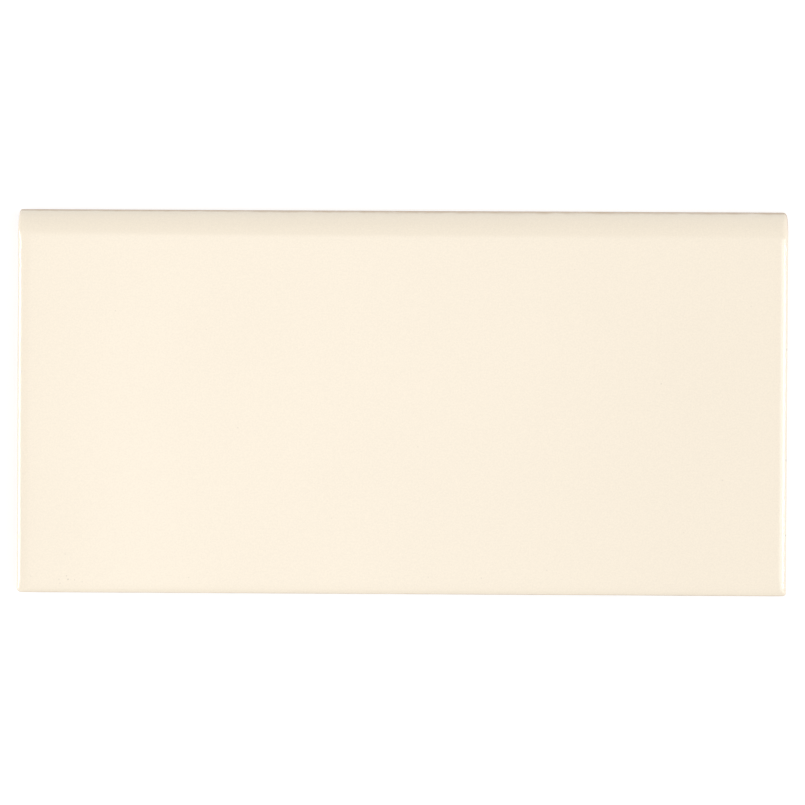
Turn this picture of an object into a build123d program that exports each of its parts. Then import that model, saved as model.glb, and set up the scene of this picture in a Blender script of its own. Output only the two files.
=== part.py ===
import os

from build123d import *

# Glazed ceramic wall tile of the subway format, 3 by 6 inches, with one long
# edge rounded over as a bullnose for the open end of a run of tiles.
# It is pressed, glazed and fired as one piece, so it is one solid.
#
# The tile lies on its back. X runs along its length, +Y points to the
# bullnose edge and +Z points out of the glazed face. The origin is the
# middle of the back plane. All sizes are in millimetres.

# Overall size
tile_length = 152.4
tile_width = 76.0
tile_thickness = 7.9

# Edges
bullnose_radius = 5.5
cushion_radius = 1.1
corner_radius = 1.2
back_bevel = 0.4

# Key pattern pressed into the back, which the adhesive grips
pocket_side = 9.9
pocket_depth = 0.6
pocket_draft = 25
pocket_corner_radius = 1.2
rib_width = 2.8
least_rim_width = 7.0

pocket_pitch = pocket_side + rib_width


def pockets_across(span):
    """Number of whole pockets that fit between the rims of a span."""
    return int((span - 2 * least_rim_width + rib_width) // pocket_pitch)


with BuildPart() as tile:
    # The section across the tile: a square edge at -Y, and at +Y the bullnose,
    # a quarter round that starts level with the face and ends above the heel.
    with BuildSketch(Plane.YZ.offset(-tile_length / 2)):
        with BuildLine():
            square_side = -tile_width / 2
            heel_side = tile_width / 2
            heel_top = tile_thickness - bullnose_radius
            Polyline((heel_side, heel_top), (heel_side, 0), (square_side, 0))
            Line((square_side, 0), (square_side, tile_thickness))
            Line((square_side, tile_thickness), (heel_side - bullnose_radius, tile_thickness))
            CenterArc((heel_side - bullnose_radius, heel_top), bullnose_radius, 0, 90)
        make_face()
    extrude(amount=tile_length)

    # The two corners of the square edge, seen from above.
    upright_edges = tile.edges().filter_by(Axis.Z).group_by(Axis.Y)
    fillet(upright_edges[0], corner_radius)

    # The cushion: the glaze rolls over on the square edge and on both ends,
    # and follows each end round the bullnose and down its heel.
    glazed_face = tile.faces().sort_by(Axis.Z)[-1]
    face_outline = glazed_face.edges().sort_by(Axis.Y)[:-1]
    bullnose = tile.faces().filter_by(GeomType.CYLINDER).sort_by(Axis.Y)[-1]
    bullnose_ends = bullnose.edges().filter_by(GeomType.CIRCLE)
    heel_corners = tile.edges().filter_by(Axis.Z).group_by(Axis.Y)[-1]
    fillet(face_outline + bullnose_ends + heel_corners, cushion_radius)

    # A small bevel runs all round the back.
    back = tile.faces().sort_by(Axis.Z)[0]
    chamfer(back.edges(), back_bevel)

    # Shallow pockets with drafted walls leave a grid of ribs inside a flat rim.
    columns = pockets_across(tile_length)
    rows = pockets_across(tile_width)
    with BuildSketch(Plane.XY):
        with GridLocations(pocket_pitch, pocket_pitch, columns, rows):
            RectangleRounded(pocket_side, pocket_side, pocket_corner_radius)
    extrude(amount=pocket_depth, taper=pocket_draft, mode=Mode.SUBTRACT)

tile.part.label = "tile"

os.makedirs("parts", exist_ok=True)
export_step(tile.part, "parts/tile.step")
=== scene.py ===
"""Looks of a bullnose subway tile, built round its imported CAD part.

The tile is one piece: a pressed clay body with a glossy cream glaze over its
face, its rolled edges and the upper part of its sides. The back is bare fired
clay with a pattern of shallow pockets. It lies on its back on a white floor,
and the camera looks down on it, about a degree from upright.

The tile's shapes are worked out in millimetres and scaled to metres when they
are done. The camera, the floor and the lamps are in metres.
"""

import logging
import math
from dataclasses import dataclass, field
from enum import Enum

import bmesh
import bpy
from mathutils import Euler, Matrix, Vector, noise

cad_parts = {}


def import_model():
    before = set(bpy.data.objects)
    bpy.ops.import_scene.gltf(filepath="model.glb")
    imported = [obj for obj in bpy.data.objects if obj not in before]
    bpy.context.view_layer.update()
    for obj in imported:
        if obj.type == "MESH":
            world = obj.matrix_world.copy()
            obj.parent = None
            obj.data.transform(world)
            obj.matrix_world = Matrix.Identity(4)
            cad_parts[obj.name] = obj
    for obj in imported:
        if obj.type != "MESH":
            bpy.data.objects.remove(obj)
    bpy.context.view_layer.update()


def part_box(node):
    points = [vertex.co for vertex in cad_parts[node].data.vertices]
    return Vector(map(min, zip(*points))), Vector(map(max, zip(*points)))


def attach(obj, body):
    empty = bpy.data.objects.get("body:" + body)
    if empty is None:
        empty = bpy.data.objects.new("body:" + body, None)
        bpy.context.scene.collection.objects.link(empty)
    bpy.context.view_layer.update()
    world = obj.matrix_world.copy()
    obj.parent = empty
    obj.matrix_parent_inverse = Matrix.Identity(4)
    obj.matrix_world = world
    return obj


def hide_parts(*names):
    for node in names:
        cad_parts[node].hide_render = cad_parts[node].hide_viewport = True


LOG = logging.getLogger("tile_scene")
MM = 0.001  # metres in a millimetre
NEAR = 0.01  # places within this many millimetres count as one
SNAP = NEAR / 10  # a cut goes through points within this many millimetres of it
LEVEL = 0.999  # a face is level where its normal's Z is past this
UPRIGHT = 0.02  # a face is upright where its normal's Z is within this
SHARP = math.radians(60)  # an edge that turns by more than this is rolled over
POWER_SHARE = 4.0  # Blender's lamp power over its radiance and area

Colour = tuple[float, float, float]
WHITE = (1.0, 1.0, 1.0, 1.0)


class Coat(Enum):
    """The two surfaces of the tile, each with its material slot."""

    GLAZE = 0
    BISQUE = 1


class Axis(Enum):
    """The directions that the body is cut across."""

    X = 0
    Y = 1
    Z = 2

    @property
    def vector(self) -> Vector:
        """The unit vector of the axis."""
        return Vector([float(i == self.value) for i in range(3)])


def smooth_step(low: float, high: float, value: float) -> float:
    """Goes smoothly from 0 at low to 1 at high.

    Args:
        low: Value that gives 0. It may be the larger of the two.
        high: Value that gives 1.
        value: Where to read the curve.

    Returns:
        A share from 0 to 1.
    """
    share = min(1.0, max(0.0, (value - low) / (high - low)))
    return share * share * (3.0 - 2.0 * share)


@dataclass(frozen=True)
class Wave:
    """Smooth noise in the tile's plan, with bumps of one length, in mm.

    The seed tells one pattern from another, and the height is how far it goes.
    """

    length: float
    seed: float
    height: float

    def at(self, x: float, y: float = 0.0) -> float:
        """The noise at a place, about minus the height to the height."""
        return self.height * noise.noise(Vector((x / self.length, y / self.length, self.seed)))


def flat_at(item: bmesh.types.BMEdge | bmesh.types.BMFace, axis: Axis, place: float) -> bool:
    """Tells whether an edge or face lies in the plane across an axis at a place."""
    return all(abs(vert.co[axis.value] - place) < NEAR for vert in item.verts)


def rim_at(bm: bmesh.types.BMesh, height: float) -> list[bmesh.types.BMEdge]:
    """Finds the edges between the faces that lie flat at a height, in mm, and the rest."""
    return [
        e
        for e in bm.edges
        if flat_at(e, Axis.Z, height)
        and len(e.link_faces) == 2
        and sum(flat_at(f, Axis.Z, height) for f in e.link_faces) == 1
    ]


def whole(bm: bmesh.types.BMesh) -> list:
    """Lists all points, edges and faces of a mesh."""
    return bm.verts[:] + bm.edges[:] + bm.faces[:]


def cut_across(bm: bmesh.types.BMesh, parts: list, axis: Axis, place: float, snap: float) -> None:
    """Cuts parts of a mesh by the plane across an axis, or at points within a snap of it."""
    bmesh.ops.bisect_plane(bm, geom=parts, dist=snap, plane_co=axis.vector * place, plane_no=axis.vector)


def to_scene(name: str, data: bpy.types.ID) -> bpy.types.Object:
    """Makes an object of some data and adds it to the scene."""
    added = bpy.data.objects.new(name, data)
    bpy.context.scene.collection.objects.link(added)
    return added


def to_piece(bm: bmesh.types.BMesh, name: str, materials: list) -> bpy.types.Object:
    """Turns a finished mesh into an object with materials in its slots, and frees the mesh."""
    mesh = bpy.data.meshes.new(name)
    bm.to_mesh(mesh)
    bm.free()
    for material in materials:
        mesh.materials.append(material)
    return to_scene(name, mesh)


@dataclass
class KeyPattern:
    """The pockets pressed into the back, which leave a grid of ribs."""

    columns: int = 11
    rows: int = 5
    pitch: float = 12.7
    rib_width: float = 2.8
    depth: float = 0.6
    draft_run: float = 0.28
    corner_radius: float = 1.2
    corner_steps: int = 4
    soft_radius: float = 0.2
    soft_steps: int = 2

    def build(self) -> bmesh.types.BMesh:
        """Makes one pocket with its share of the ribs and repeats it.

        Returns:
            The grid of pockets, facing down, with its rim plane at Z 0.
        """
        bm = bmesh.new()
        bmesh.ops.create_grid(bm, x_segments=1, y_segments=1, size=self.pitch / 2)
        bmesh.ops.reverse_faces(bm, faces=bm.faces[:])
        self._press_pocket(bm)
        cell = whole(bm)
        for column in range(self.columns):
            for row in range(self.rows):
                self._repeat(bm, cell, column, row)
        bmesh.ops.delete(bm, geom=cell, context="VERTS")
        bmesh.ops.remove_doubles(bm, verts=bm.verts[:], dist=NEAR)
        return bm

    def _press_pocket(self, bm: bmesh.types.BMesh) -> None:
        """Sinks the pocket into the cell, which is all that the mesh holds, and softens its edges."""
        floor = bm.faces[:][0]
        for width, depth in ((self.rib_width / 2, 0.0), (self.draft_run, self.depth)):
            bmesh.ops.inset_region(
                bm, faces=[floor], thickness=width, depth=-depth, use_boundary=True, use_even_offset=True
            )
        corners = [e for e in bm.edges if abs(e.verts[0].co.z - e.verts[1].co.z) > NEAR]
        soften(bm, corners, self.corner_radius, self.corner_steps)
        for level in (0.0, self.depth):
            soften(bm, rim_at(bm, level), self.soft_radius, self.soft_steps)

    def _repeat(self, bm: bmesh.types.BMesh, cell: list, column: int, row: int) -> None:
        """Puts a copy of the cell in a column, from the left, and a row, from the square side."""
        copy = bmesh.ops.duplicate(bm, geom=cell)["geom"]
        place = Vector((column - (self.columns - 1) / 2, row - (self.rows - 1) / 2, 0.0))
        verts = [v for v in copy if isinstance(v, bmesh.types.BMVert)]
        bmesh.ops.translate(bm, verts=verts, vec=place * self.pitch)


def soften(bm: bmesh.types.BMesh, edges: list, radius: float, segments: int) -> None:
    """Rounds edges over by a radius in mm, in a number of steps across the rounding."""
    bmesh.ops.bevel(
        bm,
        geom=edges,
        offset=radius,
        offset_type="OFFSET",
        affect="EDGES",
        segments=segments,
        profile=0.5,
        material=-1,
        clamp_overlap=False,
    )


@dataclass
class GlazeEdge:
    """Where the glaze ends on the sides, and the thick lip that it ends in."""

    cut_height: float = 2.0
    side_rise: float = 1.3
    heel_rise: float = -0.7
    heel_zone: tuple[float, float] = (16.0, 3.0)
    heel_calm: float = 0.55
    waves: tuple[Wave, ...] = (Wave(19.0, 3.1, 0.75), Wave(7.0, 8.7, 0.45), Wave(2.6, 5.3, 0.16))
    held_band: float = 0.3
    run_reach: float = 0.8
    lip_rows: tuple[float, ...] = (0.9, 1.4, 1.75, 1.9, 2.0, 2.1, 2.25, 3.0, 3.8, 4.6, 5.4, 6.1)
    bisque_depth: float = 0.15
    lip_depths: dict[float, float] = field(default_factory=lambda: {2.0: 0.15, 2.1: 0.06, 2.25: 0.0})

    def rise(self, x: float, y: float, half_width: float) -> float:
        """How far the glaze's lower edge stands above its cut line.

        Args:
            x: Place along the tile, in mm.
            y: Place across the tile, in mm.
            half_width: Half of the tile's width, in mm.

        Returns:
            The rise in mm, below 0 where the glaze runs further down.
        """
        far, near = self.heel_zone
        to_heel = smooth_step(half_width - far, half_width - near, y)
        level = self.side_rise + (self.heel_rise - self.side_rise) * to_heel
        ragged = sum(wave.at(x, y) for wave in self.waves)
        return level + ragged * (1.0 - self.heel_calm * to_heel)

    def share(self, height: float, rise: float, top: float, bottom: float) -> float:
        """How much of the rise a row of the side takes part in.

        Args:
            height: Height of the row before it moves, in mm.
            rise: The rise at this place, in mm.
            top: Height where the side ends above, in mm.
            bottom: Height where the side ends below, in mm.

        Returns:
            A share from 0 to 1.
        """
        low, high = self.cut_height - self.held_band, self.cut_height + self.held_band
        reach = top - high if rise > 0 else self.run_reach
        if height > high:
            return max(0.0, 1.0 - (height - high) / reach)
        if height < low:
            return max(0.0, (height - bottom) / (low - bottom))
        return 1.0


@dataclass(frozen=True)
class Steepness:
    """The normal's Z at which the tan over a rolled edge, from thin glaze and painted shade, reaches a
    level, and what shifts it.
    """

    plain: float
    tan_stretch: float
    heel: float
    broad: float
    side: float = 0.0

    def at(self, tan_stretch: float, to_heel: float, broad: float, to_side: float) -> float:
        """The normal's Z where each of the four causes counts this much."""
        shift = (self.tan_stretch * tan_stretch, self.heel * to_heel, self.broad * broad, self.side * to_side)
        return sum(shift, self.plain)


@dataclass(frozen=True)
class ThinGlazeAndShade:
    """Where the glaze turns tan over the rolled edges, from thin glaze and from painted shade where they
    turn sideways, and where it runs thin above its lower edge.

    A stretch goes from the X where it begins to the X where it is full, in mm,
    and the end shares are the left end's and the right end's.
    """

    begins: Steepness = Steepness(plain=0.60, tan_stretch=0.05, heel=-0.055, broad=0.145)
    complete: Steepness = Steepness(plain=0.15, tan_stretch=0.03, heel=-0.035, broad=-0.085, side=0.22)
    tan_stretches: tuple[tuple[float, float, float], ...] = (
        (-35.0, 5.0, 1.0),
        (-60.0, -70.0, 1.0),
        (20.0, 70.0, 1.5),
    )
    tan_wave: Wave = Wave(9.0, 4.4, 0.4)
    broad_stretch: tuple[float, float] = (-70.0, 5.0)
    side_cover: float = 0.12
    side_wave: Wave = Wave(6.0, 9.2, 0.3)
    end_shares: tuple[float, float] = (0.1, 0.34)
    nose_share: float = 0.95
    nose_run: float = 2.0
    edge_fade: float = 0.5
    lip_fade: float = 0.6

    def over_edge(self, place: Vector, normal: Vector, bullnose_start: float) -> float:
        """Tells how tan the glaze is where it rolls over an edge: thin glaze, and painted shade that grows
        as the surface turns sideways and towards the heel.

        Args:
            place: Point of the surface, in mm.
            normal: Direction out of the surface there.
            bullnose_start: Y where the face begins to turn over, in mm.

        Returns:
            A share from 0 to 1.
        """
        x, sideways = place.x, max(normal.xy.length_squared, NEAR)
        to_heel, to_side = (max(0.0, way) ** 2 / sideways for way in (normal.y, -normal.y))
        tan_stretch = sum(more * smooth_step(begin, full, x) for begin, full, more in self.tan_stretches)
        causes = (
            to_side * tan_stretch + self.tan_wave.at(x),
            to_heel,
            to_heel * smooth_step(*self.broad_stretch, x),
            to_side,
        )
        # Painted shade, on top of the thin glaze: the tan grows as the surface's normal tilts down from
        # upright.
        thin_and_shaded = smooth_step(self.begins.at(*causes), self.complete.at(*causes), normal.z)
        thin_and_shaded *= 1.0 - to_side * (self.side_cover + self.side_wave.at(x))
        share = self.end_shares[normal.x > 0]
        share += (self.nose_share - share) * smooth_step(0.0, self.nose_run, place.y - bullnose_start)
        return thin_and_shaded * (share + (1.0 - share) * max(to_heel, to_side))


@dataclass
class GlazedTile:
    """The whole tile: the pressed body, the key pattern and the flow of the glaze.

    Two radii, powers or pinches are the left end's and the right end's. A blend
    goes from where a value begins to change to where it is done, and a shoulder
    has its reach and its drop.
    """

    length: float
    width: float
    thickness: float
    bullnose_radius: float = 5.5
    bullnose_steps: int = 24
    cushion_radius: float = 1.1
    cushion_steps: int = 8
    corner_radius: float = 1.2
    corner_steps: int = 6
    back_bevel: float = 0.4
    bevel_steps: int = 3
    back_margin: float = 2.0
    grid_step: float = 1.27
    margin: float = 2.4
    bullnose_margin: float = 1.5
    end_radius: float = 1.4
    end_blend: tuple[float, float] = (1.5, -0.5)
    corner_blend: tuple[float, float] = (-0.6, 1.0)
    nose_radii: tuple[float, float] = (0.7, 1.4)
    heel_radii: tuple[float, float] = (0.45, 0.75)
    heel_blend: tuple[float, float] = (0.4, 1.0)
    corner_powers: tuple[float, float] = (3.0, 4.3)
    side_radius: float = 0.75
    side_squareness: float = 3.0
    end_shoulder: tuple[float, float] = (2.6, 0.025)
    side_shoulder: tuple[float, float] = (1.8, 0.10)
    waves: tuple[Wave, ...] = (Wave(16.0, 1.7, 0.008), Wave(4.5, 6.2, 0.003))
    end_pinches: tuple[float, float] = (0.11, 0.0)
    heel_pinch: float = 0.05
    nose_blend: tuple[float, float] = (-0.5, 2.0)
    pinch_share: float = 0.6
    pinch_blend: tuple[float, float] = (6.0, 22.0)
    key_pattern: KeyPattern = field(default_factory=KeyPattern)
    glaze_edge: GlazeEdge = field(default_factory=GlazeEdge)
    thin_glaze_and_shade: ThinGlazeAndShade = ThinGlazeAndShade()

    @property
    def bullnose_start(self) -> float:
        """Y where the face begins to turn over into the bullnose."""
        return self.width / 2 - self.bullnose_radius

    @property
    def heel_top(self) -> float:
        """Z where the bullnose ends above the heel."""
        return self.thickness - self.bullnose_radius

    def build(self, finishes: dict[Coat, bpy.types.Material]) -> bpy.types.Object:
        """Makes the tile's object, in metres, with the material of each coat."""
        bm = bmesh.new()
        self._block(bm)
        self._round_edges(bm)
        self._cut_sides(bm)
        self._close_back(bm)
        bmesh.ops.recalc_face_normals(bm, faces=bm.faces[:])
        self._set_coats(bm)
        self._flow_glaze(bm)
        open_edges = sum(len(e.link_faces) != 2 for e in bm.edges)
        LOG.info("tile: %d faces, %d open edges", len(bm.faces), open_edges)
        bmesh.ops.scale(bm, vec=(MM, MM, MM), verts=bm.verts[:])
        return to_piece(bm, "glazed_tile", [finishes[coat] for coat in Coat])

    def _block(self, bm: bmesh.types.BMesh) -> None:
        """Makes the plain block and cuts its face and back into a grid."""
        bmesh.ops.create_cube(bm, size=1.0)
        bmesh.ops.scale(bm, vec=(self.length, self.width, self.thickness), verts=bm.verts[:])
        bmesh.ops.translate(bm, vec=(0.0, 0.0, self.thickness / 2), verts=bm.verts[:])
        right, front = self.length / 2 - self.margin, self.margin - self.width / 2
        self._cut(bm, Axis.X, self._grid_lines(-right, right))
        self._cut(bm, Axis.Y, self._grid_lines(front, self.bullnose_start - self.bullnose_margin))

    def _grid_lines(self, low: float, high: float) -> list[float]:
        """The multiples of the grid step between two places."""
        first, last = math.ceil(low / self.grid_step), math.floor(high / self.grid_step)
        return [number * self.grid_step for number in range(first, last + 1)]

    def _cut(self, bm: bmesh.types.BMesh, axis: Axis, places: list[float]) -> None:
        """Cuts the mesh across an axis at each place, in mm."""
        for place in places:
            cut_across(bm, whole(bm), axis, place, SNAP)

    def _round_edges(self, bm: bmesh.types.BMesh) -> None:
        """Rounds the bullnose, the corners, the cushion and the back's bevel."""
        top, side, end = self.thickness, self.width / 2, self.length / 2
        bullnose = [e for e in bm.edges if flat_at(e, Axis.Y, side) and flat_at(e, Axis.Z, top)]
        soften(bm, bullnose, self.bullnose_radius, self.bullnose_steps)
        corners = [
            e
            for e in bm.edges
            if flat_at(e, Axis.Y, -side) and (flat_at(e, Axis.X, -end) or flat_at(e, Axis.X, end))
        ]
        soften(bm, corners, self.corner_radius, self.corner_steps)
        cushion = [e for e in bm.edges if self._on_cushion(e)]
        soften(bm, cushion, self.cushion_radius, self.cushion_steps)
        soften(bm, rim_at(bm, 0.0), self.back_bevel, self.bevel_steps)

    def _on_cushion(self, edge: bmesh.types.BMEdge) -> bool:
        """Tells whether an edge is on the square side, at an end or at an end of the bullnose."""
        faces = [f.normal for f in edge.link_faces]
        if faces[0].angle(faces[1]) < SHARP:
            return False
        if flat_at(edge, Axis.Z, self.thickness):
            return True
        past_start = all(v.co.y > self.bullnose_start - NEAR for v in edge.verts)
        at_end = all(abs(abs(v.co.x) - self.length / 2) < NEAR for v in edge.verts)
        return past_start and at_end and not flat_at(edge, Axis.Z, 0.0)

    def _cut_sides(self, bm: bmesh.types.BMesh) -> None:
        """Cuts the upright sides into rows for the glaze's lower edge."""
        bm.normal_update()
        for height in self.glaze_edge.lip_rows:
            walls = [f for f in bm.faces if self._is_wall(f)]
            edges = dict.fromkeys(e for f in walls for e in f.edges)
            verts = dict.fromkeys(v for f in walls for v in f.verts)
            cut_across(bm, [*verts, *edges, *walls], Axis.Z, height, SNAP)

    def _is_wall(self, face: bmesh.types.BMFace) -> bool:
        """Tells whether a face stands upright."""
        return abs(face.normal.z) < UPRIGHT

    def _close_back(self, bm: bmesh.types.BMesh) -> None:
        """Takes the flat back out and puts the key pattern and its rim there."""
        flat = [f for f in bm.faces if flat_at(f, Axis.Z, 0.0)]
        bmesh.ops.delete(bm, geom=flat, context="FACES")
        pattern = self.key_pattern.build()
        carrier = bpy.data.meshes.new("key_pattern")
        pattern.to_mesh(carrier)
        pattern.free()
        bm.from_mesh(carrier)
        bpy.data.meshes.remove(carrier)
        outlines = [e for e in bm.edges if e.is_boundary]
        rim = bmesh.ops.triangle_fill(bm, edges=outlines, use_beauty=True, normal=(0.0, 0.0, -1.0))
        LOG.info("back: rim of %d triangles round the pockets", len(rim["geom"]))

    def _set_coats(self, bm: bmesh.types.BMesh) -> None:
        """Gives each face its coat, and keeps the creases between surfaces."""
        bm.normal_update()
        edge_height = self.glaze_edge.cut_height
        for face in bm.faces:
            face.smooth = face.normal.z > -LEVEL
            bare = max(v.co.z for v in face.verts) < edge_height + NEAR
            face.material_index = (Coat.BISQUE if bare else Coat.GLAZE).value
        rim = {e for e in rim_at(bm, 0.0) if not self._at_back(e.verts[0].co)}
        for edge in bm.edges:
            coats = {f.material_index for f in edge.link_faces}
            edge.smooth = len(coats) == 1 and edge not in rim

    def _flow_glaze(self, bm: bmesh.types.BMesh) -> None:
        """Moves the surface by the small amounts that the glaze flows by.

        It also writes, for the materials, how tan the glaze is from thin glaze and painted shade over the
        rolled edges, how thin it runs above its lower edge, and how worn the clay's edges are.
        """
        arris, run = (bm.verts.layers.float.new(name) for name in ("arris", "run"))
        rows = {vert: vert.co.z for vert in bm.verts}
        walls = {vert for vert in bm.verts if all(self._is_wall(f) for f in vert.link_faces)}
        moves = [(vert, self._roll(vert, vert in walls)) for vert in bm.verts]
        for vert, move in moves:
            vert.co += move
        bm.normal_update()
        for vert, row in rows.items():
            vert[arris], vert[run] = self._thinness_shade_and_wear(vert, row)
        down = Vector((0.0, 0.0, -1.0))
        sinks = [(v, down * self._slump(v) - v.normal * self._depth(v, row)) for v, row in rows.items()]
        for vert, sink in sinks:
            vert.co += sink

    def _wall_top(self, place: Vector) -> float:
        """Finds the height, in mm, where the upright side ends under a rolled edge."""
        past_start = max(0.0, place.y - self.bullnose_start)
        inner = self.bullnose_radius - self.cushion_radius
        return self.heel_top + math.sqrt(max(0.0, inner**2 - past_start**2))

    def _at_back(self, place: Vector) -> bool:
        """Tells whether a point belongs to the key pattern."""
        end, side = self.length / 2 - self.back_margin, self.width / 2 - self.back_margin
        return abs(place.x) < end and abs(place.y) < side and place.z < self.key_pattern.depth + NEAR

    def _past_corner(self, place: Vector) -> tuple[float, float]:
        """How far a point is past the centre of its corner, along and across the tile."""
        past_end = abs(place.x) - (self.length / 2 - self.corner_radius)
        return past_end, -place.y - (self.width / 2 - self.corner_radius)

    def _outline(self, place: Vector) -> tuple[float, Vector]:
        """Finds the distance inside the nearest edge with a cushion, and the direction out of it."""
        side = 1.0 if place.x > 0 else -1.0
        past_end, past_side = self._past_corner(place)
        if past_end > 0 and past_side > 0:
            away = Vector((side * past_end, -past_side, 0.0))
            return self.corner_radius - away.length, away.normalized()
        if past_end > past_side:
            return self.corner_radius - past_end, Vector((side, 0.0, 0.0))
        return self.corner_radius - past_side, Vector((0.0, -1.0, 0.0))

    def _roll(self, vert: bmesh.types.BMVert, on_wall: bool) -> Vector:
        """Finds the move, in mm, that shapes the rolled edges and the glaze's lower edge."""
        place = vert.co
        move = self._reround(place) + self._square_corner(place)
        if on_wall:
            flow, top = self.glaze_edge, self._wall_top(place)
            rise = flow.rise(place.x, place.y, self.width / 2)
            move.z += rise * flow.share(place.z, rise, top, self.back_bevel)
        return move

    def _reround(self, place: Vector) -> Vector:
        """Moves a point of a rolled edge from the CAD radius to the glaze's own.

        Args:
            place: Point of the tile, in mm.

        Returns:
            The move, in mm, or none for a point that is on no rolled edge.
        """
        if place.y > self.bullnose_start:
            gap = self.length / 2 - abs(place.x)
            outward = Vector((math.copysign(1.0, place.x), 0.0, 0.0))
            arm = Vector((0.0, place.y - self.bullnose_start, max(0.0, place.z - self.heel_top)))
            under, upward = self.bullnose_radius - arm.length, arm.normalized()
        else:
            gap, outward = self._outline(place)
            under, upward = self.thickness - place.z, Vector((0.0, 0.0, 1.0))
        across, up = 1.0 - gap / self.cushion_radius, 1.0 - under / self.cushion_radius
        if min(across, up) < -NEAR or place.z < self.back_bevel - NEAR:
            return Vector()
        radius = self._edge_radius(place.y, outward)
        power = 2.0 / (2.0 + (self.side_squareness - 2.0) * outward.y**2)
        across, up = (min(1.0, max(0.0, share)) ** power for share in (across, up))
        return outward * (gap - radius * (1.0 - across)) + upward * (under - radius * (1.0 - up))

    def _square_corner(self, place: Vector) -> Vector:
        """Finds the move, in mm, that makes the corners of the square side tighter."""
        past_end, past_side = self._past_corner(place)
        if min(past_end, past_side) <= 0.0:
            return Vector()
        power = self.corner_powers[place.x > 0]
        away = Vector((math.copysign(past_end, place.x), -past_side, 0.0))
        stretch = away.length * (past_end**power + past_side**power) ** (-1.0 / power)
        return away * (stretch - 1.0) * min(1.0, away.length / self.corner_radius)

    def _edge_radius(self, y: float, outward: Vector) -> float:
        """Finds the radius, in mm, of the rolled edge that faces outward at a place across the tile."""
        past_start = y - self.bullnose_start
        clear = smooth_step(*self.end_blend, past_start)
        past_corner = smooth_step(*self.corner_blend, y + self.width / 2 - self.corner_radius)
        nose, heel = self.nose_radii[outward.x > 0], self.heel_radii[outward.x > 0]
        nose += (heel - nose) * smooth_step(*self.heel_blend, past_start / self.bullnose_radius)
        end = nose + (self.end_radius - nose) * clear
        end = self.cushion_radius + (end - self.cushion_radius) * past_corner
        return end * outward.x**2 + self.side_radius * outward.y**2

    def _thinness_shade_and_wear(self, vert: bmesh.types.BMVert, row: float) -> tuple[float, float]:
        """Tells how tan the glaze is at a point, from thin glaze and painted shade, or how worn the clay's
        edge.

        Args:
            vert: Point of the surface.
            row: Its height before the glaze flowed, in mm.

        Returns:
            The share by the rolled edge, and the share by the glaze's lower edge.
        """
        if any(f.material_index == Coat.GLAZE.value for f in vert.link_faces):
            # On glaze, the mask is painted shade on the steep rolled edges as well as thin glaze.
            rolled = self.thin_glaze_and_shade.over_edge(vert.co, vert.normal, self.bullnose_start)
            below = max(0.0, self._wall_top(vert.co) - row) / self.thin_glaze_and_shade.edge_fade
            above = max(0.0, row - self.glaze_edge.cut_height) / self.thin_glaze_and_shade.lip_fade
            return rolled * math.exp(-below), math.exp(-above)
        flats = [abs(f.normal.z) > LEVEL for f in vert.link_faces]
        return float(any(flats) and not all(flats) and vert.co.z < NEAR), 0.0

    def _depth(self, vert: bmesh.types.BMVert, row: float) -> float:
        """Finds how far the glaze's flow takes a point under the CAD surface.

        Args:
            vert: Point of the surface.
            row: Its height before the glaze flowed, in mm.

        Returns:
            The depth, in mm.
        """
        place, flow = vert.co, self.glaze_edge
        if row < self.back_bevel - NEAR or self._at_back(place):
            return 0.0
        pinch = self._pinch(vert)
        if row < flow.cut_height - NEAR:
            return flow.bisque_depth + pinch
        for height, depth in flow.lip_depths.items():
            if abs(row - height) < NEAR:
                return depth + pinch
        return pinch + sum(wave.height + wave.at(place.x, place.y) for wave in self.waves)

    def _pinch(self, vert: bmesh.types.BMVert) -> float:
        """Finds how far, in mm, the ends and the heel draw in towards the bullnose."""
        on_nose = smooth_step(*self.nose_blend, vert.co.y - self.bullnose_start)
        before = (1.0 - on_nose) * self.pinch_share * smooth_step(*self.pinch_blend, vert.co.y)
        end = self.end_pinches[vert.normal.x >= 0] * (on_nose + before)
        return end * abs(vert.normal.x) + self.heel_pinch * on_nose * max(0.0, vert.normal.y)

    def _slump(self, vert: bmesh.types.BMVert) -> float:
        """Finds how far, in mm, the face sinks towards the ends and the square side."""
        from_end, from_side = self.length / 2 - abs(vert.co.x), vert.co.y + self.width / 2
        shoulders = ((self.end_shoulder, from_end), (self.side_shoulder, from_side))
        fall = sum(drop * max(0.0, 1.0 - gap / reach) ** 2 for (reach, drop), gap in shoulders)
        return fall * max(0.0, vert.normal.z)


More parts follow.
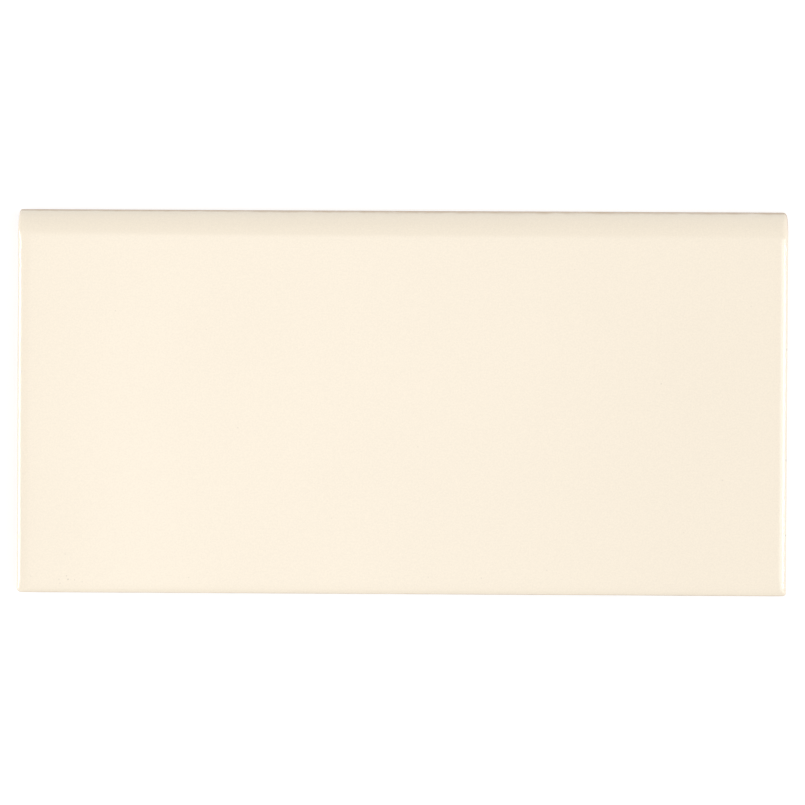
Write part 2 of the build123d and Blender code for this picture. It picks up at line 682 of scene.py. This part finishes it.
class NodeBench:
    """Adds nodes to one node tree and links them."""

    def __init__(self, tree: bpy.types.NodeTree) -> None:
        """Keeps the tree that the nodes go into."""
        self.tree = tree

    def add(self, kind: str, inputs: dict | None = None, **settings: object) -> bpy.types.Node:
        """Adds a node.

        Args:
            kind: The node's type.
            inputs: A value or an output socket for each input, by name or number.
            settings: The node's own properties.

        Returns:
            The new node.
        """
        node = self.tree.nodes.new(kind)
        for name, value in settings.items():
            setattr(node, name, value)
        self.fill(node, inputs or {})
        return node

    def fill(self, node: bpy.types.Node, inputs: dict) -> None:
        """Feeds a node's inputs, each by its name or number."""
        for key, value in inputs.items():
            self.feed(node.inputs[key], value)

    def feed(self, socket: bpy.types.NodeSocket, value: object) -> None:
        """Links an output socket to an input, or sets the input's value."""
        if isinstance(value, bpy.types.NodeSocket):
            self.tree.links.new(value, socket)
        else:
            socket.default_value = value

    def math(self, operation: str, *values: object) -> bpy.types.NodeSocket:
        """Adds a Math node and returns its result."""
        return self.add("ShaderNodeMath", dict(enumerate(values)), operation=operation).outputs[0]

    def ramp(self, value: object, low: float, high: float) -> bpy.types.NodeSocket:
        """Maps low to high onto 0 to 1, with eased ends. Low may be the larger of the two."""
        turned = low > high
        node = self.add(
            "ShaderNodeMapRange",
            {
                "Value": value,
                "From Min": min(low, high),
                "From Max": max(low, high),
                "To Min": float(turned),
                "To Max": float(not turned),
            },
            interpolation_type="SMOOTHSTEP",
        )
        return node.outputs["Result"]

    def shade(self, colour: object, share: object) -> bpy.types.NodeSocket:
        """Multiplies a colour by a value and returns the result."""
        node = self.add("ShaderNodeVectorMath", {0: colour, "Scale": share}, operation="SCALE")
        return node.outputs[0]

    def blend(self, share: object, first: object, second: object) -> bpy.types.NodeSocket:
        """Mixes two colours and returns the result."""
        node = self.add("ShaderNodeMix", {0: share, 6: first, 7: second}, data_type="RGBA")
        return node.outputs[2]

    def noise(self, vector: object, scale: object, detail: float, roughness: float) -> bpy.types.NodeSocket:
        """Adds a Noise Texture and returns its value."""
        inputs = {"Vector": vector, "Scale": scale, "Detail": detail, "Roughness": roughness}
        return self.add("ShaderNodeTexNoise", inputs).outputs[0]

    def bump(self, height: object, distance: float, strength: float) -> bpy.types.NodeSocket:
        """Adds a Bump node and returns its normal."""
        inputs = {"Height": height, "Distance": distance, "Strength": strength}
        return self.add("ShaderNodeBump", inputs).outputs[0]

    def attribute(self, name: str) -> bpy.types.NodeSocket:
        """Adds an Attribute node and returns its value."""
        return self.add("ShaderNodeAttribute", attribute_name=name).outputs["Fac"]


class GroupRecipe:
    """A node group that is built once and placed in each material."""

    name: str = ""
    vectors: tuple[str, ...] = ("Vector",)
    values: tuple[str, ...] = ()
    results: tuple[str, ...] = ("Mask",)

    def wire(self, bench: NodeBench, given: dict, out: dict) -> None:
        """Builds the inside of the group.

        Args:
            bench: Bench of the group's own tree.
            given: The group's input sockets by name.
            out: The group's output sockets by name.
        """
        raise NotImplementedError

    def tree(self) -> bpy.types.NodeTree:
        """Finds the group's tree, and makes it at the first call."""
        found = bpy.data.node_groups.get(self.name)
        if found:
            return found
        tree = bpy.data.node_groups.new(self.name, "ShaderNodeTree")
        for names, side, kind in (
            (self.vectors, "INPUT", "NodeSocketVector"),
            (self.values, "INPUT", "NodeSocketFloat"),
            (self.results, "OUTPUT", "NodeSocketFloat"),
        ):
            for name in names:
                tree.interface.new_socket(name, in_out=side, socket_type=kind)
        bench = NodeBench(tree)
        given, out = bench.add("NodeGroupInput"), bench.add("NodeGroupOutput")
        self.wire(bench, dict(given.outputs.items()), dict(out.inputs.items()))
        return tree

    def place(self, bench: NodeBench, **values: object) -> dict[str, bpy.types.NodeSocket]:
        """Puts the group in a material.

        Args:
            bench: Bench of the material.
            values: A value or a socket for each of the group's inputs.

        Returns:
            The group's output sockets by name.
        """
        node = bench.tree.nodes.new("ShaderNodeGroup")
        node.node_tree = self.tree()
        bench.fill(node, values)
        return dict(node.outputs.items())


class Grain(GroupRecipe):
    """Fine even grain, with the shade and the height of each grain."""

    name = "grain"
    values = ("Scale", "Shade")
    results = ("Shade", "Height")

    def wire(self, bench: NodeBench, given: dict, out: dict) -> None:
        """Builds the inside of the group."""
        grains = bench.noise(given["Vector"], given["Scale"], 2.0, 0.6)
        centred = bench.math("SUBTRACT", grains, 0.5)
        bench.feed(out["Shade"], bench.math("MULTIPLY_ADD", centred, given["Shade"], 1.0))
        bench.feed(out["Height"], grains)


class Patches(GroupRecipe):
    """Broad soft patches, such as cloudiness or stains."""

    name = "patches"
    values = ("Scale", "Low", "High")

    def wire(self, bench: NodeBench, given: dict, out: dict) -> None:
        """Builds the inside of the group."""
        cloud = bench.noise(given["Vector"], given["Scale"], 3.0, 0.55)
        mask = bench.add(
            "ShaderNodeMapRange",
            {"Value": cloud, "From Min": given["Low"], "From Max": given["High"]},
            interpolation_type="SMOOTHSTEP",
        )
        bench.feed(out["Mask"], mask.outputs["Result"])


class BrokenEdge(GroupRecipe):
    """An edge mask that noise breaks up, as wear and thin glaze do."""

    name = "broken_edge"
    values = ("Edge", "Scale", "Break")

    def wire(self, bench: NodeBench, given: dict, out: dict) -> None:
        """Builds the inside of the group."""
        teeth = bench.noise(given["Vector"], given["Scale"], 3.0, 0.6)
        offset = bench.math("MULTIPLY", bench.math("SUBTRACT", teeth, 0.5), given["Break"])
        near_edge = bench.ramp(given["Edge"], 0.0, 0.3)
        broken = bench.math("MULTIPLY_ADD", offset, near_edge, given["Edge"])
        bench.feed(out["Mask"], bench.ramp(broken, 0.15, 0.85))


class Speck(GroupRecipe):
    """A round mark at one place, soft at its rim."""

    name = "speck"
    vectors = ("Vector", "Centre")
    values = ("Radius",)

    def wire(self, bench: NodeBench, given: dict, out: dict) -> None:
        """Builds the inside of the group."""
        ends = {0: given["Vector"], 1: given["Centre"]}
        gap = bench.add("ShaderNodeVectorMath", ends, operation="DISTANCE").outputs["Value"]
        share = bench.math("DIVIDE", gap, given["Radius"])
        bench.feed(out["Mask"], bench.ramp(share, 1.0, 0.4))


def new_material(name: str) -> tuple[bpy.types.Material, NodeBench, bpy.types.Node]:
    """Makes a node material, and returns it with its bench and its Principled BSDF."""
    material = bpy.data.materials.new(name)
    material.use_nodes = True
    material.node_tree.nodes.clear()
    bench = NodeBench(material.node_tree)
    shader = bench.add("ShaderNodeBsdfPrincipled")
    bench.add("ShaderNodeOutputMaterial", {"Surface": shader.outputs[0]})
    return material, bench, shader


@dataclass(frozen=True)
class Pinhole:
    """A small dark pit in the glaze, at a place in mm, with its depth as a share of dark."""

    x: float
    y: float
    radius: float
    depth: float
    z: float = 7.9


@dataclass(frozen=True)
class CreamGlaze:
    """Glossy cream glaze, tan where it rolls over an edge: thin glaze there, and painted shade on the parts
    that turn away from the light.
    """

    cream: Colour = (0.935, 0.836, 0.687)
    # The tan of thin glaze, which also paints the shade of the rolled edges.
    thin_and_shaded: Colour = (0.53, 0.366, 0.215)
    pit: Colour = (0.16, 0.11, 0.07)
    density: float = 1.57
    roughness: float = 0.09
    cloud_roughness: float = 0.025
    thin_roughness: float = 0.3
    grain_shade: float = 0.13
    cloud_shade: float = -0.006
    thin_and_shade_share: float = 0.95
    pit_height: float = -1.2
    peel_distance: float = 4e-6
    pinholes: tuple[Pinhole, ...] = (
        Pinhole(-65.9, -35.4, 0.22, 0.26),
        Pinhole(-66.2, -34.7, 0.18, 0.2),
        Pinhole(-64.6, -35.5, 0.18, 0.15),
        Pinhole(-67.7, -35.4, 0.18, 0.12),
        Pinhole(-63.1, -35.9, 0.2, 0.1),
        Pinhole(-66.5, -30.4, 0.22, 0.1),
        Pinhole(51.2, 3.9, 0.16, 0.22),
        Pinhole(-32.4, -5.2, 0.16, 0.2),
        Pinhole(63.4, -15.1, 0.24, 0.12),
        Pinhole(15.9, -34.7, 0.2, 0.13),
        Pinhole(3.2, -8.8, 0.18, 0.14),
        Pinhole(-42.0, -34.9, 0.2, 0.12),
        Pinhole(-56.7, 17.8, 0.2, 0.12),
        Pinhole(-38.7, 14.2, 0.18, 0.12),
        Pinhole(34.0, 26.4, 0.18, 0.12),
        Pinhole(28.8, -33.1, 0.18, 0.12),
        Pinhole(55.8, -25.5, 0.18, 0.11),
        Pinhole(5.4, -34.6, 0.18, 0.1),
        Pinhole(-13.8, -23.0, 0.2, 0.1),
        Pinhole(68.8, 19.3, 0.18, 0.1),
        Pinhole(-73.3, -34.8, 0.2, 0.1),
        Pinhole(-67.5, -36.2, 0.22, 0.12),
        Pinhole(76.0, 10.8, 0.3, 0.25, 7.2),
        Pinhole(76.0, -11.1, 0.3, 0.25, 7.2),
        Pinhole(76.0, -26.0, 0.3, 0.25, 7.2),
    )

    def material(self) -> bpy.types.Material:
        """Builds the material of the glazed faces."""
        material, bench, shader = new_material("cream_glaze")
        place = bench.add("ShaderNodeTexCoord").outputs["Object"]
        arris, run = bench.attribute("arris"), bench.attribute("run")
        grain = Grain().place(bench, Vector=place, Scale=3200.0, Shade=self.grain_shade)
        clouds = Patches().place(bench, Vector=place, Scale=28.0, Low=0.35, High=0.7)
        # The arris mask paints shade on the rolled edges as well as the tan of thin glaze.
        thin_and_shaded = BrokenEdge().place(bench, Vector=place, Edge=arris, Scale=240.0, Break=0.7)
        ragged = BrokenEdge().place(bench, Vector=place, Edge=run, Scale=700.0, Break=0.8)
        rolled = bench.math("MULTIPLY", thin_and_shaded["Mask"], self.thin_and_shade_share)
        thinness_and_shade = bench.math("MAXIMUM", rolled, ragged["Mask"])
        pits = self._pits(bench, place)
        cloudy = bench.math("MULTIPLY_ADD", clouds["Mask"], self.cloud_shade, 1.0)
        cream = bench.shade(self.cream, bench.math("MULTIPLY", grain["Shade"], cloudy))
        colour = bench.blend(thinness_and_shade, cream, (*self.thin_and_shaded, 1.0))
        rough = bench.math("MULTIPLY_ADD", clouds["Mask"], self.cloud_roughness, self.roughness)
        rough = bench.math("MULTIPLY_ADD", bench.ramp(thinness_and_shade, 0.4, 1.0), self.thin_roughness, rough)
        peel = bench.noise(place, 620.0, 2.0, 0.5)
        height = bench.math("MULTIPLY_ADD", pits, self.pit_height, peel)
        surface = {
            "Base Color": bench.blend(pits, colour, (*self.pit, 1.0)),
            "IOR": self.density,
            "Roughness": rough,
            "Normal": bench.bump(height, self.peel_distance, 1.0),
        }
        bench.fill(shader, surface)
        return material

    def _pits(self, bench: NodeBench, place: bpy.types.NodeSocket) -> bpy.types.NodeSocket:
        """Joins the masks of all pinholes, each as dark as its pit is deep."""
        joined: object = 0.0
        for pinhole in self.pinholes:
            centre = (pinhole.x * MM, pinhole.y * MM, pinhole.z * MM)
            mark = Speck().place(bench, Vector=place, Centre=centre, Radius=pinhole.radius * MM)
            joined = bench.math("MAXIMUM", joined, bench.math("MULTIPLY", mark["Mask"], pinhole.depth))
        return joined


@dataclass(frozen=True)
class BareBisque:
    """Fired clay without glaze: pale, sandy and quite dull."""

    clay: Colour = (0.74, 0.62, 0.50)
    stained: Colour = (0.60, 0.47, 0.36)
    worn: Colour = (0.83, 0.74, 0.63)
    grog: Colour = (0.42, 0.31, 0.22)
    stained_share: float = 0.6
    worn_share: float = 0.6
    grog_share: float = 0.45
    grain_shade: float = 0.5
    roughness: float = 0.83
    grain_roughness: float = 0.1
    grain_distance: float = 6e-5
    specular: float = 0.3

    def material(self) -> bpy.types.Material:
        """Builds the material of the bare faces."""
        material, bench, shader = new_material("bare_bisque")
        place, arris = bench.add("ShaderNodeTexCoord").outputs["Object"], bench.attribute("arris")
        grain = Grain().place(bench, Vector=place, Scale=3000.0, Shade=self.grain_shade)
        stains = Patches().place(bench, Vector=place, Scale=60.0, Low=0.48, High=0.78)
        specks = Patches().place(bench, Vector=place, Scale=1300.0, Low=0.66, High=0.74)
        wear = BrokenEdge().place(bench, Vector=place, Edge=arris, Scale=900.0, Break=0.9)
        clay: object = (*self.clay, 1.0)
        for marks, most, colour in (
            (stains, self.stained_share, self.stained),
            (specks, self.grog_share, self.grog),
            (wear, self.worn_share, self.worn),
        ):
            clay = bench.blend(bench.math("MULTIPLY", marks["Mask"], most), clay, (*colour, 1.0))
        surface = {
            "Base Color": bench.shade(clay, grain["Shade"]),
            "Roughness": bench.math("MULTIPLY_ADD", grain["Height"], self.grain_roughness, self.roughness),
            "Specular IOR Level": self.specular,
            "Normal": bench.bump(grain["Height"], self.grain_distance, 0.7),
        }
        bench.fill(shader, surface)
        return material


@dataclass(frozen=True)
class Softbox:
    """A rectangular lamp that faces the tile."""

    name: str
    centre: Vector
    size: tuple[float, float]
    radiance: float

    def place(self) -> None:
        """Adds the lamp to the scene, with the power that gives its radiance."""
        lamp = bpy.data.lights.new(self.name, "AREA")
        lamp.shape = "RECTANGLE"
        lamp.size, lamp.size_y = self.size
        lamp.energy = self.radiance * self.size[0] * self.size[1] * POWER_SHARE
        softbox = to_scene(self.name, lamp)
        facing = (Vector() - self.centre).to_track_quat("-Z", "Y")
        softbox.matrix_world = Matrix.LocRotScale(self.centre, facing, None)
        softbox.visible_camera = False


@dataclass(frozen=True)
class PanelEdge:
    """One edge of the soft panel overhead, across X or Y.

    It goes by the direction's part along that axis: the panel begins at one, is
    full at the other, and keeps a share of its strength outside the edge.
    """

    axis: Axis
    begins: float
    full: float
    kept: float = 0.0


@dataclass
class Studio:
    """The white floor, the surroundings and the lamps."""

    floor_half_size: float = 4.0
    floor_drop: float = 0.00002
    floor_bounce: float = 0.53
    floor_lift: float = 0.58
    opening_inset: float = 0.0007
    horizon: float = 1.0
    overhead: float = 0.665
    sky_fade: tuple[float, float] = (0.12, 0.5)
    panel: float = 1.3
    panel_rise: tuple[float, float] = (0.0, 0.5)
    panel_edges: tuple[PanelEdge, ...] = (
        PanelEdge(Axis.X, -0.15, -0.06),
        PanelEdge(Axis.X, 0.12, -0.04, kept=0.36),
        PanelEdge(Axis.X, 0.35, 0.15),
        PanelEdge(Axis.Y, -0.3, -0.09),
        PanelEdge(Axis.Y, 0.3, 0.02),
    )
    softboxes: tuple[Softbox, ...] = (
        Softbox("left_low", Vector((-1.025, -0.025, 0.103)), (0.18, 0.19), 17.0),
        Softbox("left_high", Vector((-0.92, -0.025, 0.46)), (0.18, 0.072), 8.0),
        Softbox("left_glow", Vector((-0.3, 0.0, 0.5)), (0.5, 0.5), 0.24),
        Softbox("right_low", Vector((5.387, -0.13, 0.757)), (0.78, 0.57), 11.0),
        Softbox("right_high", Vector((4.60, -0.13, 2.903)), (0.78, 1.385), 11.0),
        Softbox("right_glow", Vector((3.1, -0.1, 5.2)), (1.2, 4.2), 2.0),
    )

    def build(self, half_size: Vector) -> bpy.types.Object:
        """Makes the floor, the world and the lamps.

        Args:
            half_size: Half of the tile's length and width, in metres.

        Returns:
            The floor.
        """
        for softbox in self.softboxes:
            softbox.place()
        self._surroundings()
        return self._floor(half_size)

    def _seen(self, bench: NodeBench) -> bpy.types.NodeSocket:
        """Gives 1 for rays that show a surface to the camera, also in gloss or glass, and 0 for the rest."""
        path = bench.add("ShaderNodeLightPath").outputs
        gloss = bench.math("MAXIMUM", path["Is Glossy Ray"], path["Is Transmission Ray"])
        return bench.math("MAXIMUM", path["Is Camera Ray"], gloss)

    def _surroundings(self) -> None:
        """Makes the world: white at the horizon, dimmer above, with a soft panel overhead."""
        world = bpy.data.worlds.new("surroundings")
        world.use_nodes = True
        world.node_tree.nodes.clear()
        bpy.context.scene.world = world
        bench = NodeBench(world.node_tree)
        direction = bench.add("ShaderNodeTexCoord").outputs["Generated"]
        parts = bench.add("ShaderNodeSeparateXYZ", {0: direction}).outputs
        height = parts[Axis.Z.value]
        fall = bench.ramp(height, *self.sky_fade)
        level = bench.math("MULTIPLY_ADD", fall, self.overhead - self.horizon, self.horizon)
        panel = bench.math("MULTIPLY", self.panel, bench.ramp(height, *self.panel_rise))
        for edge in self.panel_edges:
            share = bench.ramp(parts[edge.axis.value], edge.begins, edge.full)
            share = bench.math("MULTIPLY_ADD", share, 1.0 - edge.kept, edge.kept)
            panel = bench.math("MULTIPLY", panel, share)
        strength = bench.math("ADD", level, panel)
        background = bench.add("ShaderNodeBackground", {"Color": WHITE, "Strength": strength})
        bench.add("ShaderNodeOutputWorld", {"Surface": background.outputs[0]})

    def _floor(self, half_size: Vector) -> bpy.types.Object:
        """Makes the floor, white to the camera but for the tile's own shadow.

        From below the camera sees through it, and an opening that the tile
        covers lets light reach the tile's back.

        Args:
            half_size: Half of the tile's length and width, in metres.

        Returns:
            The floor's object.
        """
        bm = bmesh.new()
        bmesh.ops.create_grid(bm, x_segments=1, y_segments=1, size=self.floor_half_size)
        for axis in (Axis.X, Axis.Y):
            reach = half_size[axis.value] - self.opening_inset
            for place in (-reach, reach):
                cut_across(bm, whole(bm), axis, place, 0.0)
        under = [f for f in bm.faces if f.calc_center_median().length < self.opening_inset]
        bmesh.ops.delete(bm, geom=under, context="FACES")
        bmesh.ops.translate(bm, verts=bm.verts[:], vec=(0.0, 0.0, -self.floor_drop))
        material, bench, shader = new_material("white_floor")
        surface = {
            "Base Color": (*[self.floor_bounce] * 3, 1.0),
            "Roughness": 1.0,
            "Specular IOR Level": 0.0,
            "Emission Color": WHITE,
            "Emission Strength": bench.math("MULTIPLY", self._seen(bench), self.floor_lift),
        }
        bench.fill(shader, surface)
        below = bench.add("ShaderNodeNewGeometry").outputs["Backfacing"]
        clear = bench.add("ShaderNodeBsdfTransparent").outputs[0]
        one_way = bench.add("ShaderNodeMixShader", {0: below, 1: shader.outputs[0], 2: clear})
        bench.feed(material.node_tree.get_output_node("ALL").inputs["Surface"], one_way.outputs[0])
        return to_piece(bm, "floor", [material])


@dataclass
class PhotoCamera:
    """The camera above the tile, as near to upright as in the photograph."""

    lens: float = 180.0
    sensor: float = 36.0
    frame_width: float = 0.15906
    target: Vector = field(default_factory=lambda: Vector((0.00013, -0.00005, 0.0079)))
    lean: tuple[float, float] = (math.radians(0.54), math.radians(1.1))
    roll: float = math.radians(0.285)

    def place(self) -> None:
        """Adds the camera and makes it the scene's own."""
        data = bpy.data.cameras.new("photo_camera")
        data.lens, data.sensor_width = self.lens, self.sensor
        distance = self.lens / self.sensor * self.frame_width
        data.clip_start, data.clip_end = distance / 100, distance * 20
        camera = to_scene("photo_camera", data)
        leaning = Euler((-self.lean[1], self.lean[0], 0.0)).to_matrix()
        facing = leaning @ Matrix.Rotation(self.roll, 3, "Z")
        place = self.target + leaning @ Vector((0.0, 0.0, distance))
        camera.matrix_world = Matrix.LocRotScale(place, facing, None)
        bpy.context.scene.camera = camera


def corners(box: tuple[Vector, Vector]) -> list[list[float]]:
    """Turns a box's two corners into plain lists of numbers."""
    return [list(corner) for corner in box]


def main() -> None:
    """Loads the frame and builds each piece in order."""
    logging.basicConfig(level=logging.INFO, format="%(name)s: %(message)s")
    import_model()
    bpy.context.scene.view_settings.view_transform = "Standard"

    PhotoCamera().place()
    LOG.info("camera: placed above the tile")
    low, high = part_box("tile")
    Studio().build((high - low) / 2)
    LOG.info("studio: floor, surroundings and lamps")

    size = (high - low) / MM
    finishes = {Coat.GLAZE: CreamGlaze().material(), Coat.BISQUE: BareBisque().material()}
    tile = GlazedTile(length=size.x, width=size.y, thickness=size.z).build(finishes)
    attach(tile, "root")
    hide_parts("tile")
    LOG.info("tile: built, and shown for the CAD tile")


if __name__ == "__main__":
    main()
